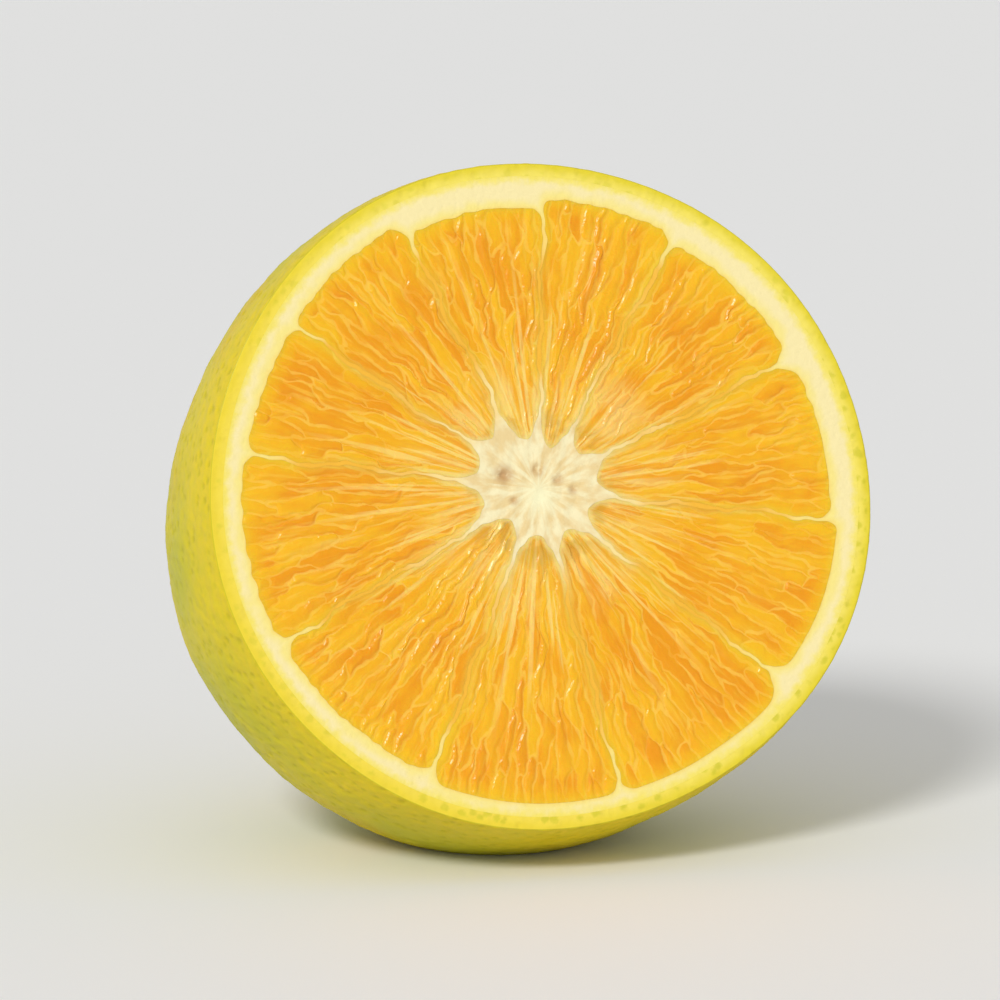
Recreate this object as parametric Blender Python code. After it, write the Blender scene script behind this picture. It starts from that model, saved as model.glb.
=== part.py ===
"""Navel orange with its stem end sliced off, lying on its side on a small flat spot.

Each piece is modelled in the fruit's own axes: +Z runs along the core towards the cut, +X to the right of
the cut face and +Y up it. An empty then leans the whole fruit back, so that the cut face looks along -Y.
"""
import math

import bmesh
import bpy
from mathutils import Matrix, Vector

MM = 0.001

# Driving sizes of the whole fruit
GIRTH_RADIUS = 41.0 * MM  # at the widest ring, which is where the local origin lies
NAVEL_LENGTH = 43.0 * MM  # from the widest ring back to the navel end
STEM_LENGTH = 46.0 * MM  # from the widest ring to the stem end, which is sliced off
CUT_AHEAD = 11.5 * MM  # the cut plane, in front of the widest ring
DRIFT = Vector((-0.10, -0.08))  # how far the core runs off sideways for each step back from the cut
LEAN = math.radians(15.0)  # how far the cut face looks up
CENTRE_HEIGHT = 40.9 * MM  # of the local origin over the floor, which flattens the lowest stretch of skin

# Layers, measured inwards from the skin
ZEST_THICKNESS = 1.5 * MM
GAP = 0.3 * MM  # between neighbours that touch
RIND_THICKNESS = 4.4 * MM  # skin and spongy pith together

# Navel: a hollow with a small puckered button in it
HOLLOW_DEPTH, HOLLOW_WIDTH = 1.5 * MM, 12.0 * MM
GROOVE_DEPTH, GROOVE_RADIUS, GROOVE_WIDTH = 2.3 * MM, 5.6 * MM, 1.7 * MM
PUCKER_DEPTH, PUCKER_WIDTH = 1.6 * MM, 1.5 * MM
FOLD_COUNT, FOLD_DEPTH, FOLD_RADIUS, FOLD_WIDTH = 7, 0.35 * MM, 9.5 * MM, 4.5 * MM
DENT_DEPTH, DENT_WIDTH = 3.6 * MM, 9.5 * MM  # of the layers under it

# Low lumps of the skin: height over the girth radius, waves round the fruit, turn of the first wave
LUMPS = ((0.0060, 2, 1.4), (0.0060, 3, 2.1), (0.0035, 5, 4.0))

# Flesh: where the walls between segments meet the cut face, counted from +X towards +Y
WALL_DEGREES = (-151.7, -114.2, -77.7, -40.3, -7.9, 24.5, 58.2, 85.8, 114.8, 144.2, 171.5)
# How far each segment, from the first wall on, bulges past an even rind, in millimetres
BULGES = (0.5, 1.3, 1.4, 0.3, -0.6, -0.7, 0.2, -0.9, 0.5, 0.4, 0.7)
WALL_THICKNESS = 0.6 * MM
CORE_CENTRE = Vector((-0.7 * MM, 0.6 * MM))  # where the core crosses the cut
CORE_RADIUS = 5.2 * MM
CORNER_RADIUS = 2.6 * MM  # of a segment, at the rind
TIP_RADIUS = 1.1 * MM  # of a segment, at the core
NAVEL_PITH = 4.5 * MM  # extra pith in front of the navel
NAVEL_PITH_WIDTH = 15.0 * MM
SEGMENT_BACK = -33.6 * MM  # how far back along the core the flesh runs
POCKET_LEAD = 2.0 * MM  # how far each pocket's cutter starts in front of the cut

# Steps that the surfaces are divided into
ZEST_AROUND, ZEST_RINGS = 56, 34
LAYER_AROUND, LAYER_RINGS = 36, 16
NAVEL_CROWDING = 1.8  # above 1, the rings crowd towards the navel
SEGMENT_RINGS = 6
CORNER_STEPS = 2
ARC_STEPS = 2
HALVINGS = 20  # of the search for the flesh's reach
CORNER_SHARE = 0.8  # the most of a segment's half angle that a round corner takes

SHARP_ANGLE = math.radians(40.0)  # edges steeper than this, such as the cut's rim, stay crisp
SLAB_SIDE = 3.0 * GIRTH_RADIUS  # of the block that takes the sliced-off part away

# Colour and roughness of each finish
ZEST_LOOK = ((0.66, 0.56, 0.035, 1.0), 0.38)
PITH_LOOK = ((0.93, 0.80, 0.42, 1.0), 0.75)
FLESH_LOOK = ((0.90, 0.40, 0.02, 1.0), 0.25)

# The floor, as the fruit's own axes see it before its layers drift sideways
FLOOR_UP = Vector((0.0, math.cos(LEAN), math.sin(LEAN) - math.cos(LEAN) * DRIFT.y))
FLOOR_DISTANCE = CENTRE_HEIGHT + math.cos(LEAN) * DRIFT.y * CUT_AHEAD


def clear_scene():
    for old in list(bpy.data.objects):
        bpy.data.objects.remove(old, do_unlink=True)


def new_collection(name):
    collection = bpy.data.collections.new(name)
    bpy.context.scene.collection.children.link(collection)
    return collection


def new_material(name, colour, roughness):
    material = bpy.data.materials.new(name)
    material.use_nodes = True
    shader = material.node_tree.nodes["Principled BSDF"]
    shader.inputs["Base Color"].default_value = colour
    shader.inputs["Roughness"].default_value = roughness
    shader.inputs["Metallic"].default_value = 0.0
    material.diffuse_color = colour
    return material


def bell(distance, width):
    """1 in the middle, falling off smoothly to 0."""
    return math.exp(-((distance / width) ** 2))


def navel_relief(from_navel, around):
    """How far the skin is sunk, at this distance along it from the navel end."""
    hollow = HOLLOW_DEPTH * bell(from_navel, HOLLOW_WIDTH)
    groove = GROOVE_DEPTH * bell(from_navel - GROOVE_RADIUS, GROOVE_WIDTH)
    pucker = PUCKER_DEPTH * bell(from_navel, PUCKER_WIDTH)
    folds = FOLD_DEPTH * math.cos(FOLD_COUNT * around) * bell(from_navel - FOLD_RADIUS, FOLD_WIDTH)
    return hollow + groove + pucker + folds


def navel_dent(from_navel, around):
    """The plainer dent of the layers under the navel."""
    return DENT_DEPTH * math.exp(-((from_navel / DENT_WIDTH) ** 4))


def layer_radius(direction, inset, sink=None):
    """Distance from the local origin to the layer that lies this far under the skin."""
    along = direction.z
    across = math.hypot(direction.x, direction.y)
    around = math.atan2(direction.y, direction.x)
    half_length = STEM_LENGTH if along > 0.0 else NAVEL_LENGTH
    girth, length = GIRTH_RADIUS - inset, half_length - inset
    egg = 1.0 / math.sqrt((across / girth) ** 2 + (along / length) ** 2)
    lumps = sum(height * math.sin(waves * around + turn) for height, waves, turn in LUMPS)
    radius = egg * (1.0 + lumps * across**2)
    if sink and along < 0.0:
        radius -= sink(GIRTH_RADIUS * math.atan2(across, -along), around)
    down = -direction.dot(FLOOR_UP)
    if down > 0.0:
        radius = min(radius, (FLOOR_DISTANCE - inset * FLOOR_UP.length) / down)
    return radius


def drifted(across, height):
    """Moves a point sideways with the core, which doesn't run quite straight back from the cut."""
    return Vector((*(across + DRIFT * (CUT_AHEAD - height)), height))


def layer_body(name, inset, sink, around, rings):
    """A closed egg whose surface is one layer of the fruit."""
    mesh = bpy.data.meshes.new(name)
    form = bmesh.new()
    bmesh.ops.create_uvsphere(form, u_segments=around, v_segments=rings, radius=1.0)
    for vertex in form.verts:
        turn = math.atan2(vertex.co.y, vertex.co.x)
        share = math.acos(max(-1.0, min(1.0, -vertex.co.z))) / math.pi
        polar = math.pi * share**NAVEL_CROWDING
        across = math.sin(polar)
        direction = Vector((across * math.cos(turn), across * math.sin(turn), -math.cos(polar)))
        point = direction * layer_radius(direction, inset, sink)
        vertex.co = drifted(point.xy, point.z)
    # The same diagonals in every layer keep the gap between two of them even where their faces bend.
    bmesh.ops.triangulate(form, faces=form.faces, quad_method="FIXED")
    form.to_mesh(mesh)
    form.free()
    return bpy.data.objects.new(name, mesh)


def flesh_reach(angle, height):
    """How far the flesh reaches from the core's middle, at this angle and height along the core."""
    ray = Vector((math.cos(angle), math.sin(angle)))
    near, far = CORE_RADIUS, GIRTH_RADIUS
    for _ in range(HALVINGS):
        middle = (near + far) / 2.0
        flat = CORE_CENTRE + ray * middle
        point = Vector((flat.x, flat.y, height))
        inset = RIND_THICKNESS
        if height < 0.0:
            inset += NAVEL_PITH * bell(flat.length, NAVEL_PITH_WIDTH)
        if point.length < layer_radius(point.normalized(), inset):
            near = middle
        else:
            far = middle
    return near


def arc(centre, radius, start, end, steps):
    """Points on an arc, its start left out and its end kept."""
    turns = (start + (end - start) * step / steps for step in range(1, steps + 1))
    return [centre + radius * Vector((math.cos(turn), math.sin(turn))) for turn in turns]


def half_outline(half_angle, middle_reach, edge_reach, grow):
    """Half a segment's outline, from its tip at the core to its middle at the rind.

    X runs along the middle of the wedge. Two round corners touch its straight side.
    """
    clear = WALL_THICKNESS / 2.0 + GAP - grow
    outer = edge_reach + grow
    tip = TIP_RADIUS + grow
    turn_limit = math.sin(CORNER_SHARE * half_angle)
    corner = min(CORNER_RADIUS + grow, (outer * turn_limit - clear) / (1.0 + turn_limit))
    outward = Vector((-math.sin(half_angle), math.cos(half_angle)))
    tip_reach = max(CORE_RADIUS + GAP - grow + tip, (clear + tip) / math.sin(half_angle))
    tip_middle = Vector((tip_reach, 0.0))
    edge = half_angle - math.asin((clear + corner) / (outer - corner))
    corner_middle = (outer - corner) * Vector((math.cos(edge), math.sin(edge)))
    normal_turn = half_angle + math.pi / 2.0

    points = [tip_middle - Vector((tip, 0.0))]
    points += arc(tip_middle, tip, math.pi, normal_turn, CORNER_STEPS)
    points.append(corner_middle + corner * outward)
    points += arc(corner_middle, corner, normal_turn, edge, CORNER_STEPS)
    for step in range(1, ARC_STEPS + 1):
        share = step / ARC_STEPS
        reach = outer + (middle_reach + grow - outer) * share
        turn = edge * (1.0 - share)
        points.append(reach * Vector((math.cos(turn), math.sin(turn))))
    return points


def segment_outline(first_wall, second_wall, bulge, height, grow):
    """Outline of one segment across the core: a wedge with round corners, widened by grow."""
    halving = (first_wall + second_wall) / 2.0
    half_angle = (second_wall - first_wall) / 2.0
    edge_turn = CORNER_SHARE * half_angle
    turns = (halving, halving + edge_turn, halving - edge_turn)
    middle_reach, upper_reach, lower_reach = (flesh_reach(turn, height) + bulge for turn in turns)
    upper = half_outline(half_angle, middle_reach, upper_reach, grow)
    lower = half_outline(half_angle, middle_reach, lower_reach, grow)
    mirrored = [Vector((point.x, -point.y)) for point in reversed(lower[1:-1])]
    turned = Matrix.Rotation(halving, 2)
    return [CORE_CENTRE + turned @ point for point in upper + mirrored]


def segment_body(name, first_wall, second_wall, bulge, grow=0.0):
    """Lofts a segment from the cut back to its end by the navel. A grown one is its pocket's cutter."""
    mesh = bpy.data.meshes.new(name)
    form = bmesh.new()
    loops = []
    for ring in range(SEGMENT_RINGS):
        share = math.sin(math.pi / 2.0 * ring / (SEGMENT_RINGS - 1))
        height = CUT_AHEAD + (SEGMENT_BACK - CUT_AHEAD) * share
        outline = segment_outline(first_wall, second_wall, bulge, height, grow)
        if grow and ring == 0:
            lead = Vector((0.0, 0.0, POCKET_LEAD))
            loops.append([form.verts.new(drifted(point, height) + lead) for point in outline])
        if ring == SEGMENT_RINGS - 1:
            height -= grow
        loops.append([form.verts.new(drifted(point, height)) for point in outline])
    count = len(loops[0])
    for upper, lower in zip(loops, loops[1:]):
        for step in range(count):
            after = (step + 1) % count
            form.faces.new((upper[step], upper[after], lower[after], lower[step]))
    form.faces.new(loops[0])
    form.faces.new(loops[-1])
    bmesh.ops.recalc_face_normals(form, faces=form.faces)
    form.to_mesh(mesh)
    form.free()
    return bpy.data.objects.new(name, mesh)


def place(thing, collection, parent, material):
    """Shows a piece in its collection, on the fruit's axis, shaded smooth with crisp cut edges."""
    collection.objects.link(thing)
    thing.parent = parent
    thing.data.materials.append(material)
    thing.data.shade_smooth()
    thing.data.set_sharp_from_angle(angle=SHARP_ANGLE)


def place_cutter(thing, collection, parent):
    """Keeps a cutter out of sight."""
    collection.objects.link(thing)
    thing.parent = parent
    thing.hide_render = True
    thing.display_type = "WIRE"


def subtract(thing, label, cutter):
    """Adds a Boolean modifier that takes a cutter away."""
    cut = thing.modifiers.new(label, "BOOLEAN")
    cut.operation = "DIFFERENCE"
    cut.object = cutter


def subtract_all(thing, label, group):
    """Adds a Boolean modifier that takes a whole collection of cutters away."""
    cut = thing.modifiers.new(label, "BOOLEAN")
    cut.operation = "DIFFERENCE"
    cut.operand_type = "COLLECTION"
    cut.collection = group
    cut.solver = "MANIFOLD"  # the exact solver leaves open edges where so many cutters lie this close


def knife_slab():
    """The block that holds the sliced-off part of the fruit."""
    mesh = bpy.data.meshes.new("sliced_off")
    form = bmesh.new()
    bmesh.ops.create_cube(form, size=SLAB_SIDE)
    bmesh.ops.translate(form, verts=form.verts, vec=(0.0, 0.0, CUT_AHEAD + SLAB_SIDE / 2.0))
    form.to_mesh(mesh)
    form.free()
    return bpy.data.objects.new("sliced_off", mesh)


def centre_over_origin(axis, skin):
    """Moves the fruit so that its box stands with the middle of its base on the origin."""
    bpy.context.view_layer.update()
    evaluated = skin.evaluated_get(bpy.context.evaluated_depsgraph_get())
    corners = [evaluated.matrix_world @ vertex.co for vertex in evaluated.to_mesh().vertices]
    for side in range(2):
        low = min(corner[side] for corner in corners)
        high = max(corner[side] for corner in corners)
        axis.location[side] -= (low + high) / 2.0
    axis.location.z -= min(corner.z for corner in corners)
    bpy.context.view_layer.update()


def build():
    clear_scene()
    fruit = new_collection("navel_orange")
    cutters = new_collection("cutters")
    pockets = bpy.data.collections.new("segment_pockets")
    cutters.children.link(pockets)

    axis = bpy.data.objects.new("fruit_axis", None)
    fruit.objects.link(axis)
    axis.rotation_euler = (math.pi / 2.0 - LEAN, 0.0, 0.0)
    axis.location = (0.0, 0.0, CENTRE_HEIGHT)

    slab = knife_slab()
    place_cutter(slab, cutters, axis)
    under_zest = layer_body("under_zest", ZEST_THICKNESS, navel_dent, LAYER_AROUND, LAYER_RINGS)
    place_cutter(under_zest, cutters, axis)

    skin = layer_body("zest", 0.0, navel_relief, ZEST_AROUND, ZEST_RINGS)
    place(skin, fruit, axis, new_material("zest", *ZEST_LOOK))
    subtract(skin, "hollow", under_zest)
    subtract(skin, "slice", slab)

    pith = layer_body("pith", ZEST_THICKNESS + GAP, navel_dent, LAYER_AROUND, LAYER_RINGS)
    place(pith, fruit, axis, new_material("pith", *PITH_LOOK))
    subtract(pith, "slice", slab)
    subtract_all(pith, "pockets", pockets)

    flesh = new_material("flesh", *FLESH_LOOK)
    walls = [math.radians(angle) for angle in WALL_DEGREES]
    closing = [*walls[1:], walls[0] + 2.0 * math.pi]
    bulges = [bulge * MM for bulge in BULGES]
    for number, (first, second, bulge) in enumerate(zip(walls, closing, bulges), start=1):
        place(segment_body(f"segment_{number:02d}", first, second, bulge), fruit, axis, flesh)
        place_cutter(segment_body(f"pocket_{number:02d}", first, second, bulge, GAP), pockets, axis)

    centre_over_origin(axis, skin)


build()
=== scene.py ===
# %% [markdown]
# # A navel orange, cut across
# A knife has taken the stem end off this navel orange. It lies on a small flat spot, with the cut face
# towards us and the navel at the far end. Four tissues make its look: a waxy skin full of oil pores, spongy
# pith under it, thin walls and a core that grew from that pith, and juicy flesh. A plain model gives the
# true size and place of every piece, and each is built again here, much finer.

# %% The plain model
import math

import bmesh
import bpy
import numpy as np
from mathutils import Matrix, Vector, kdtree
from mathutils.geometry import delaunay_2d_cdt


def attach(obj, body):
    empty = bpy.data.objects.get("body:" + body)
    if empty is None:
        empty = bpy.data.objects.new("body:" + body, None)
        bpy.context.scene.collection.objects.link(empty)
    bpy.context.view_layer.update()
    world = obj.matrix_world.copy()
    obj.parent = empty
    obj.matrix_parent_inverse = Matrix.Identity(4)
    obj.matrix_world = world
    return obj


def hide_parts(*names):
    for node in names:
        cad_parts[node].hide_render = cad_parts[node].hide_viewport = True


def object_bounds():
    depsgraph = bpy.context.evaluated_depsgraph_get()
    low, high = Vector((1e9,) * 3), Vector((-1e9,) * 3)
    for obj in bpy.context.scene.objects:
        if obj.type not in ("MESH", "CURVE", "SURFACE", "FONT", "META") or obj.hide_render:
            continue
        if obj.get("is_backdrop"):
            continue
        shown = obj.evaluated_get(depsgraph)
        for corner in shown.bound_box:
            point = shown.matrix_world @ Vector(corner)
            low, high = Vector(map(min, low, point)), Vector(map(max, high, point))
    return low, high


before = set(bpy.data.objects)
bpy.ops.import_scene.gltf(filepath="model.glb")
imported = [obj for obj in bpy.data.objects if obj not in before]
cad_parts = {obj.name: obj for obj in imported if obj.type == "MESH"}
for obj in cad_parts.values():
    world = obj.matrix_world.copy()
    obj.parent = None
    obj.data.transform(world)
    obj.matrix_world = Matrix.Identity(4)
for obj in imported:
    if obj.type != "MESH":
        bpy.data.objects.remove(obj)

MM = 0.001
plain_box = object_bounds()
print("plain model, mm:", [[round(value / MM, 2) for value in corner] for corner in plain_box])

# %% [markdown]
# ## The fruit's own axes
# An orange is easiest to describe along its core. So the pieces are worked out in the fruit's own axes,
# where Z runs along the core towards the cut, X points to the right of the cut face and Y up it. One matrix
# then leans the whole fruit back by 15 degrees, and one shift sets it down where the plain model has it.

# %% From the fruit's axes to the frame
LEAN = math.radians(15.0)
CENTRE_HEIGHT = 40.9  # millimetres
RING_MIDDLE = Vector((1.026, -10.012, CENTRE_HEIGHT)) * MM  # middle of the fruit's widest ring
turned = np.array(Matrix.Rotation(math.pi / 2.0 - LEAN, 3, "X"))
print("the cut face looks along", [round(value, 3) for value in turned[:, 2]])


def to_frame(own):
    """Points in the fruit's own axes, as rows, taken to the frame."""
    return own @ turned.T + np.array(RING_MIDDLE)


# %% [markdown]
# ## The shape of the fruit
# A fruit swells evenly from inside, so it starts as an egg with a rounder navel end and a longer stem end.
# Low waves round it give the lumps, and bells, which are smooth bumps that die out, sink the navel. Every
# layer under the skin follows the same formula a little further in, so the layers nest. The formula takes
# whole arrays of directions at once, which makes a fine mesh quick to work out.

# %% Sizes of the whole fruit
GIRTH_RADIUS = 41.0 * MM
NAVEL_LENGTH = 43.0 * MM
STEM_LENGTH = 46.0 * MM
CUT_AHEAD = 11.5 * MM  # the cut plane, in front of the widest ring
DRIFT = np.array((-0.10, -0.08))  # sideways run of the core for each step back from the cut
LUMPS = ((0.0060, 2, 1.4), (0.0060, 3, 2.1), (0.0035, 5, 4.0))  # share, waves round the core, turn
# The ground in the fruit's own axes, as it is before the core's drift.
FLOOR_UP = np.array((0.0, math.cos(LEAN), math.sin(LEAN) - math.cos(LEAN) * DRIFT[1]))
FLOOR_DISTANCE = CENTRE_HEIGHT * MM + math.cos(LEAN) * DRIFT[1] * CUT_AHEAD

HOLLOW_DEPTH, HOLLOW_WIDTH = 1.5 * MM, 12.0 * MM
GROOVE_DEPTH, GROOVE_RADIUS, GROOVE_WIDTH = 2.3 * MM, 5.6 * MM, 1.7 * MM
PUCKER_DEPTH, PUCKER_WIDTH = 1.6 * MM, 1.5 * MM
FOLD_COUNT, FOLD_DEPTH, FOLD_RADIUS, FOLD_WIDTH = 7, 0.35 * MM, 9.5 * MM, 4.5 * MM
DENT_DEPTH, DENT_WIDTH = 3.6 * MM, 9.5 * MM  # of the layers under the navel
print("uncut fruit, mm:", [round(side / MM) for side in (2.0 * GIRTH_RADIUS, NAVEL_LENGTH + STEM_LENGTH)])


# %% The egg, its lumps, its navel and its flat spot
def bell(distance, width):
    """1 in the middle, falling off smoothly to 0."""
    return np.exp(-((distance / width) ** 2))


def smooth_step(value, low, high):
    """0 at low, 1 at high, which may be the smaller, and an even curve between."""
    share = np.clip((value - low) / (high - low), 0.0, 1.0)
    return share * share * (3.0 - 2.0 * share)


def navel_relief(from_navel, around):
    """How far the skin is sunk, at this distance along it from the navel end."""
    hollow = HOLLOW_DEPTH * bell(from_navel, HOLLOW_WIDTH)
    groove = GROOVE_DEPTH * bell(from_navel - GROOVE_RADIUS, GROOVE_WIDTH)
    pucker = PUCKER_DEPTH * bell(from_navel, PUCKER_WIDTH)
    folds = FOLD_DEPTH * np.cos(FOLD_COUNT * around) * bell(from_navel - FOLD_RADIUS, FOLD_WIDTH)
    return hollow + groove + pucker + folds


def navel_dent(from_navel, around):
    """The plainer dent of the layers under the navel."""
    return DENT_DEPTH * np.exp(-((from_navel / DENT_WIDTH) ** 4))


def unsunk(from_navel, around):
    """No dent at all, for the layer that the flesh reaches to."""
    return 0.0 * from_navel


def layer_radius(direction, inset, sink, floor_inset):
    """Distance from the widest ring's middle to the layer that lies this far under the skin."""
    along = direction[:, 2]
    across = np.hypot(direction[:, 0], direction[:, 1])
    around = np.arctan2(direction[:, 1], direction[:, 0])
    half_length = np.where(along > 0.0, STEM_LENGTH, NAVEL_LENGTH)
    egg = 1.0 / np.hypot(across / (GIRTH_RADIUS - inset), along / (half_length - inset))
    lumps = sum(height * np.sin(waves * around + turn) for height, waves, turn in LUMPS)
    radius = egg * (1.0 + lumps * across**2)
    from_navel = GIRTH_RADIUS * np.arctan2(across, -along)
    radius = radius - np.where(along < 0.0, sink(from_navel, around), 0.0)
    down = np.maximum(-direction @ FLOOR_UP, 1e-6)
    return np.minimum(radius, (FLOOR_DISTANCE - floor_inset * np.linalg.norm(FLOOR_UP)) / down)


def drifted(points):
    """Moves points sideways with the core, which doesn't run quite straight."""
    moved = points.copy()
    moved[:, :2] += DRIFT * (CUT_AHEAD - points[:, 2:3])
    return moved


# %% [markdown]
# ## Rows of points
# The skin is laid out in rows round the core, like the lines of latitude on a globe. Rows get shorter
# towards the navel, and wherever their points come too close, a row has half as many as the one before. Each
# row is found by its share of the way from the navel end to the knife cut.

# %% A row of one layer
HALVINGS = 30  # of the search for the knife cut


def ray_directions(polar, around):
    """Directions from the navel end's pole (polar 0) round to the stem end's."""
    across = np.sin(polar)
    return np.stack([across * np.cos(around), across * np.sin(around), -np.cos(polar)], axis=1)


def layer_row(share, count, inset, sink, height=CUT_AHEAD, floor_inset=None):
    """One row of a layer, at this share of the way from the navel end to where it meets height."""
    floor_inset = inset if floor_inset is None else floor_inset
    around = 2.0 * math.pi * np.arange(count) / count
    low, high = np.zeros(count), np.full(count, math.pi)
    for _ in range(HALVINGS):
        polar = (low + high) / 2.0
        direction = ray_directions(polar, around)
        above = direction[:, 2] * layer_radius(direction, inset, sink, floor_inset) > height
        low, high = np.where(above, low, polar), np.where(above, polar, high)
    direction = ray_directions(share * low, around)
    return drifted(direction * layer_radius(direction, inset, sink, floor_inset)[:, None])


print("cut face, mm:", (np.ptp(layer_row(1.0, 360, 0.0, navel_relief), axis=0)[:2] / MM).round(1))


# %% Sewing rows together
def sewn(first, second):
    """Faces between two closed rows of points, where one may have half as many as the other."""
    if len(first) < len(second):
        return [face[::-1] for face in sewn(second, first)]
    after = np.roll(first, -1)
    if len(first) == len(second):
        return np.stack([first, after, np.roll(second, -1), second], axis=1).tolist()
    near, middle, far = first[::2], first[1::2], after[1::2]
    next_second = np.roll(second, -1)
    corners = [(near, middle, second), (middle, next_second, second), (middle, far, next_second)]
    return [face for three in corners for face in np.stack(three, axis=1).tolist()]


class Body:
    """Points and faces of a piece, and the named notes that its points carry."""

    def __init__(self, *note_names):
        self.note_names = note_names
        self.rows, self.notes, self.faces, self.count = [], [], [], 0

    def add_points(self, points, *notes):
        """Adds points with a number or an array for each note, and returns their numbers."""
        numbers = np.arange(self.count, self.count + len(points))
        self.rows.append(points)
        self.notes.append([np.broadcast_to(note, len(points)) for note in notes])
        self.count += len(points)
        return numbers

    def add_row(self, before, points, *notes):
        """Adds a closed row and sews it to the row before."""
        numbers = self.add_points(points, *notes)
        self.faces += sewn(before, numbers)
        return numbers

    def close(self, row, point, *notes):
        """Closes a row with a fan of triangles to one point."""
        tip = self.add_points(point, *notes)[0]
        self.faces += [[a, b, tip] for a, b in zip(row.tolist(), np.roll(row, -1).tolist())]


# %% [markdown]
# ## From points to a piece
# A piece keeps notes on its points for its finish to read: the point's place in the fruit's own axes, in
# millimetres, and a few more that differ by piece. Notes stay with the mesh, so the finish lies still when
# the fruit is turned or moved. Faces are shaded as one smooth surface, except over the crisp edges that a
# knife leaves.

# %% Making a piece
CRISP = math.radians(60.0)


def put(name, data):
    """A new object in the scene."""
    thing = bpy.data.objects.new(name, data)
    bpy.context.scene.collection.objects.link(thing)
    return thing


def new_piece(name, body, material, node):
    """A mesh object in the frame, which stands for one node of the plain model."""
    own = np.concatenate(body.rows)
    mesh = bpy.data.meshes.new(name)
    mesh.from_pydata(to_frame(own).tolist(), [], body.faces)
    place = mesh.attributes.new("own_mm", "FLOAT_VECTOR", "POINT")
    place.data.foreach_set("vector", (own / MM).ravel().astype(np.float32))
    for note_name, parts in zip(body.note_names, zip(*body.notes)):
        note = mesh.attributes.new(note_name, "FLOAT", "POINT")
        note.data.foreach_set("value", np.concatenate(parts).astype(np.float32))
    form = bmesh.new()
    form.from_mesh(mesh)
    bmesh.ops.recalc_face_normals(form, faces=form.faces)
    form.to_mesh(mesh)
    form.free()
    mesh.shade_smooth()
    mesh.set_sharp_from_angle(angle=CRISP)
    mesh.materials.append(material)
    piece = put(name, mesh)
    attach(piece, "root")
    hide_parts(node)
    print(name, len(mesh.vertices), "points,", len(mesh.polygons), "faces")
    return piece


# %% [markdown]
# ## Writing patterns as sums
# A procedural finish is a chain of small nodes, which is hard to read when it is written node by node. So
# one small class wraps a node's output and lets Python's own operators add the nodes. It works in a material
# and in a geometry node tree alike, so one function describes a pattern for both the relief and the colour,
# and a dark pore is always a sunk one.

# %% A wire and a board of nodes
class Wire:
    """An output of a node, with operators that add Math nodes."""

    def __init__(self, board, socket):
        self.board = board
        self.socket = socket

    def maths(self, operation, *values):
        return self.board.node("ShaderNodeMath", {"operation": operation}, dict(enumerate(values)))

    def __add__(self, other):
        return self.maths("ADD", self, other)

    def __sub__(self, other):
        return self.maths("SUBTRACT", self, other)

    def __rsub__(self, other):
        return self.maths("SUBTRACT", other, self)

    def __mul__(self, other):
        return self.maths("MULTIPLY", self, other)

    def __pow__(self, other):
        return self.maths("POWER", self, other)


class Board:
    """A node tree, with short ways to add to it."""

    def __init__(self, tree):
        self.tree = tree

    def node(self, kind, settings, sockets, output=0):
        """Adds a node: its settings first, then values or wires for its sockets."""
        node = self.tree.nodes.new(kind)
        for name, value in settings.items():
            setattr(node, name, value)
        for key, value in sockets.items():
            if isinstance(value, Wire):
                self.tree.links.new(value.socket, node.inputs[key])
            else:
                node.inputs[key].default_value = value
        if node.outputs:
            return Wire(self, node.outputs[output])

    def step(self, value, low, high):
        """A smooth step from 0 at low to 1 at high."""
        sockets = {"Value": value, "From Min": low, "From Max": high}
        return self.node("ShaderNodeMapRange", {"interpolation_type": "SMOOTHSTEP"}, sockets)

    def mix(self, share, first, second):
        """One colour passing into another. Each is a wire, or its red, green and blue."""
        settings = {"data_type": "RGBA", "clamp_factor": True}
        first, second = (end if isinstance(end, Wire) else (*end, 1.0) for end in (first, second))
        return self.node("ShaderNodeMix", settings, {0: share, 6: first, 7: second}, 2)

    def cells(self, scale):
        """Distance to the nearest of scattered points, in their own spacings of 1 / scale millimetres."""
        return self.node("ShaderNodeTexVoronoi", {}, {"Vector": self.place, "Scale": scale}, "Distance")

    def noise(self, scale, detail=2.0, place=None):
        """Soft random patches, about 1 / scale millimetres apart and around a half."""
        sockets = {"Vector": place or self.place, "Scale": scale, "Detail": detail}
        return self.node("ShaderNodeTexNoise", {}, sockets, "Fac")

    def parts(self, place):
        """A vector's three numbers, as wires."""
        node = self.node("ShaderNodeSeparateXYZ", {}, {0: place}).socket.node
        return [Wire(self, socket) for socket in node.outputs]

    def joined(self, x, y):
        return self.node("ShaderNodeCombineXYZ", {}, {0: x, 1: y})

    def distance(self, spot):
        """How far a spot is, in the fruit's own millimetres."""
        sockets = {0: self.place, 1: tuple(spot)}
        return self.node("ShaderNodeVectorMath", {"operation": "DISTANCE"}, sockets, "Value")

    def nearness(self, spot, radius):
        """1 at a spot of the cut face, falling to 0 at a radius from it."""
        return self.step(self.distance((*spot, CUT_AHEAD / MM)), radius, 0.0)


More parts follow.
